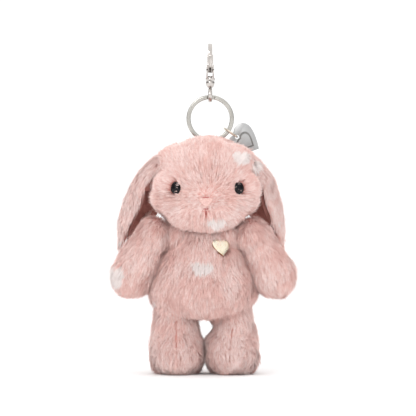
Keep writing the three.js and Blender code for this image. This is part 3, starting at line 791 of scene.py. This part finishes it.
# Millimetres that an edge is softened by, where it is not the usual amount
ROUNDED = {
    "nose_pad": 0.35, "mouth_stitch": 0.2, "hook_frame": 0.35, "gate_lever": 0.3,
    "heart_charm": 0.28, "badge_pin": 0.3, "key_ring": 0.2,
}
USUAL_ROUNDING = 0.12
FACES = {"heart_charm": SATIN, "badge_pin": GOLD}  # the look of a flat face, where its rim differs
for name, look in NODE_LOOKS.items():
    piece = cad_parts[name]
    piece.data.materials.clear()
    piece.data.materials.append(look)
    piece.data.polygons.foreach_set("use_smooth", [True] * len(piece.data.polygons))
    # On the charm the rim keeps the darker metal, painted dark reflection at its edges
    if name in FACES:
        piece.data.materials.append(FACES[name])
        for face in piece.data.polygons:
            face.material_index = int(abs(face.normal.y) > 0.8)
    shared = piece.modifiers.new("shared points", "WELD")
    shared.merge_threshold = 0.00001
    if name.startswith("eye_") and "washer" not in name:
        finer = piece.modifiers.new("finer", "SUBSURF")
        finer.levels = finer.render_levels = 2
        continue
    bevel = piece.modifiers.new("soft edges", "BEVEL")
    bevel.width = ROUNDED.get(name, USUAL_ROUNDING) * MM
    bevel.segments = 2
    bevel.limit_method = "ANGLE"
    bevel.angle_limit = math.radians(32)
    bevel.harden_normals = True
    bevel.material = 0 if name in FACES else -1


def raised_face(name, node, body, look, bands, lift):
    """Thin raised areas on the front of a flat node: bands are (width, kept), from its edge in."""
    bm = bmesh.new()
    bm.from_mesh(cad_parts[node].data)
    bmesh.ops.remove_doubles(bm, verts=bm.verts, dist=1e-6)
    bm.normal_update()
    facing = {}
    for face in bm.faces:
        key = tuple(round(n, 2) for n in face.normal)
        if face.normal.y < -0.5:
            facing[key] = facing.get(key, 0) + face.calc_area()
    way = Vector(max(facing, key=facing.get)).normalized()
    others = [face for face in bm.faces if face.normal.dot(way) < 0.995]
    bmesh.ops.delete(bm, geom=others, context="FACES")
    region = list(bm.faces)
    dropped = []
    for width, kept in bands:
        result = bmesh.ops.inset_region(
            bm, faces=region, thickness=width * MM, use_boundary=True, use_even_offset=True)
        if not kept:
            dropped += result["faces"]
        region = [face for face in region if face.is_valid]
    bmesh.ops.delete(bm, geom=dropped, context="FACES")
    bmesh.ops.translate(bm, verts=bm.verts, vec=way * lift * MM)
    mesh = bpy.data.meshes.new(name)
    bm.to_mesh(mesh)
    bm.free()
    mesh.materials.append(look)
    piece = bpy.data.objects.new(name, mesh)
    scene.collection.objects.link(piece)
    thick = piece.modifiers.new("thick", "SOLIDIFY")
    thick.thickness = (lift + 0.05) * MM
    thick.offset = -1
    baked(piece)
    piece.data.polygons.foreach_set("use_smooth", [False] * len(piece.data.polygons))
    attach(piece, body)
    return piece


def heart(half, count=24):
    """The outline of a heart with its notch at the origin and its point along -z."""
    quarter = [
        [(0, 0), (0.15, 0.26), (0.9, 0.3), (1, -0.3)],
        [(1, -0.3), (1.06, -0.8), (0.4, -1.4), (0, -1.76)],
    ]
    outline = []
    for a, b, c, d in np.array(quarter, float):
        for t in np.linspace(0, 1, count, endpoint=False):
            start, end = (1 - t) ** 3 * a, t ** 3 * d
            outline.append(start + 3 * t * (1 - t) ** 2 * b + 3 * t * t * (1 - t) * c + end)
    outline = np.array(outline)
    other = (outline[1:] * np.array([-1, 1]))[::-1]
    return np.concatenate([outline, [[0, -1.76]], other]) * half


# A heart-shaped line that stands off the charm's face, in the same darker metal, painted dark
# reflection
charm_low, charm_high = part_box("heart_charm")
charm_low, charm_high = np.array(charm_low) / MM - ORIGIN, np.array(charm_high) / MM - ORIGIN
CHARM_HALF = 9.4  # half the charm's width before it is turned
LINE_OUTER, LINE_INNER = 0.56, 0.44  # the raised line's two outlines, as shares of the charm
LINE_BACK, LINE_FRONT = 0.1, -0.18  # the line's back and front, from the charm's own front
CHARM_TURN = math.radians(62)
turned = np.array([
    [math.cos(CHARM_TURN), -math.sin(CHARM_TURN)], [math.sin(CHARM_TURN), math.cos(CHARM_TURN)],
])
whole = heart(CHARM_HALF) @ turned.T
charm_mid = (charm_low + charm_high)[[0, 2]] / 2 - (whole.min(axis=0) + whole.max(axis=0)) / 2
rings = []
for share in (LINE_OUTER, LINE_INNER):
    drop = -0.42 * CHARM_HALF - 0.7 * CHARM_HALF * (LINE_OUTER - share)
    small = heart(CHARM_HALF * share) + np.array([0, drop])
    small = small @ turned.T + charm_mid
    rings.append(small)
count = len(rings[0])
front = charm_low[1]
levels = [
    (rings[0], front + LINE_FRONT), (rings[1], front + LINE_FRONT),
    (rings[1], front + LINE_BACK), (rings[0], front + LINE_BACK),
]
line_points = np.concatenate([
    np.stack([ring[:, 0], np.full(count, y), ring[:, 1]], axis=1) for ring, y in levels
])
line_faces = []
for level in range(4):
    for n in range(count):
        a, b = level * count + n, level * count + (n + 1) % count
        line_faces.append((a, b, (b + count) % (4 * count), (a + count) % (4 * count)))
charm_line = made("charm_raised_heart", line_points, line_faces, CHARM_DARK_REFLECTION, smooth=False)
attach(charm_line, "charm")

# A line of thread along the top of the nose pad
nose_low, nose_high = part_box("nose_pad")
nose_low, nose_high = np.array(nose_low) / MM - ORIGIN, np.array(nose_high) / MM - ORIGIN
stitch = []
steps, sides = 28, 8
for n in range(steps):
    t = n / (steps - 1)
    x = nose_low[0] + 0.2 + t * (nose_high[0] - nose_low[0] - 0.4)
    droop = 0.55 * (2 * t - 1) ** 2
    thick = 0.32 * (0.35 + 0.65 * math.sin(math.pi * min(max(t, 0.02), 0.98)))
    for k in range(sides):
        angle = 2 * math.pi * k / sides
        back = 1.5 * abs(2 * t - 1) ** 2
        y = nose_low[1] - 0.15 + back + thick * math.cos(angle)
        stitch.append((x, y, nose_high[2] + 0.1 - droop + thick * math.sin(angle)))
stitch_faces = []
for n in range(steps - 1):
    for k in range(sides):
        a, b = n * sides + k, n * sides + (k + 1) % sides
        stitch_faces.append((a, b, b + sides, a + sides))
stitch_faces += [tuple(range(sides)), tuple((steps - 1) * sides + k for k in range(sides))]
nose_line = made("nose_stitch", stitch, stitch_faces, THREAD)
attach(nose_line, "head")

raised_face("badge_face", "badge_pin", "torso", GOLD,
            [(0.9, False), (0.3, True), (0.2, False)], 0.1)

# --- floor, light and camera ----------------------------------------------------------------------

floor_mesh = bpy.data.meshes.new("floor")
FLOOR_HALF = 3.0
floor_corners = [(x * FLOOR_HALF, y * FLOOR_HALF, 0) for x, y in ((-1, -1), (1, -1), (1, 1), (-1, 1))]
floor_mesh.from_pydata(floor_corners, [], [(0, 1, 2, 3)])
floor = bpy.data.objects.new("floor", floor_mesh)
floor.location.z = leg_low.z
scene.collection.objects.link(floor)
floor_look = shader("floor_white", (0.98, 0.98, 0.98, 1), 0.9)
floor_mesh.materials.append(floor_look)

world = bpy.data.worlds.new("studio")
scene.world = world
world.use_nodes = True
background = world.node_tree.nodes["Background"]
background.inputs["Strength"].default_value = 1.12
# A white studio whose side walls are darker in reflections, so that metal has dark edges
sky_nodes, sky_links = world.node_tree.nodes, world.node_tree.links
direction = sky_nodes.new("ShaderNodeTexCoord")
parts = sky_nodes.new("ShaderNodeSeparateXYZ")
sideways = sky_nodes.new("ShaderNodeMath")
sideways.operation = "ABSOLUTE"
walls = sky_nodes.new("ShaderNodeValToRGB")
walls.color_ramp.elements[0].position = 0.62
walls.color_ramp.elements[0].color = (1, 1, 1, 1)
walls.color_ramp.elements[1].position = 0.86
walls.color_ramp.elements[1].color = (0.3, 0.3, 0.3, 1)
ray = sky_nodes.new("ShaderNodeLightPath")
seen = sky_nodes.new("ShaderNodeMix")
seen.data_type = "RGBA"
seen.inputs[6].default_value = (1, 1, 1, 1)
sky_links.new(direction.outputs["Generated"], parts.inputs["Vector"])
sky_links.new(parts.outputs["X"], sideways.inputs[0])
sky_links.new(sideways.outputs[0], walls.inputs["Fac"])
sky_links.new(ray.outputs["Is Glossy Ray"], seen.inputs["Factor"])
sky_links.new(walls.outputs["Color"], seen.inputs[7])
sky_links.new(seen.outputs[2], background.inputs["Color"])


def softbox(name, place, target, size, power):
    light = bpy.data.lights.new(name, "AREA")
    light.shape = "RECTANGLE"
    light.size, light.size_y = size
    light.energy = power
    lamp = bpy.data.objects.new(name, light)
    lamp.location = place
    lamp.rotation_mode = "QUATERNION"
    lamp.rotation_quaternion = (Vector(target) - Vector(place)).to_track_quat("-Z", "Y")
    lamp.visible_glossy = False
    scene.collection.objects.link(lamp)
    return lamp


middle = (0.0, 0.0, -0.1)
softbox("key", (-0.45, -0.75, 0.45), middle, (0.5, 0.5), 0.5)
softbox("fill", (0.6, -0.7, 0.15), middle, (0.5, 0.6), 0.9)
softbox("top", (0.0, 0.15, 0.75), middle, (0.7, 0.7), 0.6)
sparkle = softbox("sparkle", (-0.3, -0.7, 0.28), middle, (0.2, 0.2), 1.1)
sparkle.visible_glossy = True

VIEW_MIDDLE = (-1.3, -12.0, -94.0)
VIEW_WIDTH = 241.3
SENSOR_WIDTH = 36
camera_data = bpy.data.cameras.new("camera")
camera_data.lens = 200
camera_data.sensor_width = SENSOR_WIDTH
camera_data.clip_start = 0.01
distance = VIEW_WIDTH * camera_data.lens / camera_data.sensor_width
camera = bpy.data.objects.new("camera", camera_data)
camera.location = Vector((VIEW_MIDDLE[0], VIEW_MIDDLE[1] - distance, VIEW_MIDDLE[2])) * MM
camera.rotation_mode = "QUATERNION"
camera.rotation_quaternion = Vector((0, 1, 0)).to_track_quat("-Z", "Y")
scene.collection.objects.link(camera)
scene.camera = camera
scene.view_settings.view_transform = "Standard"
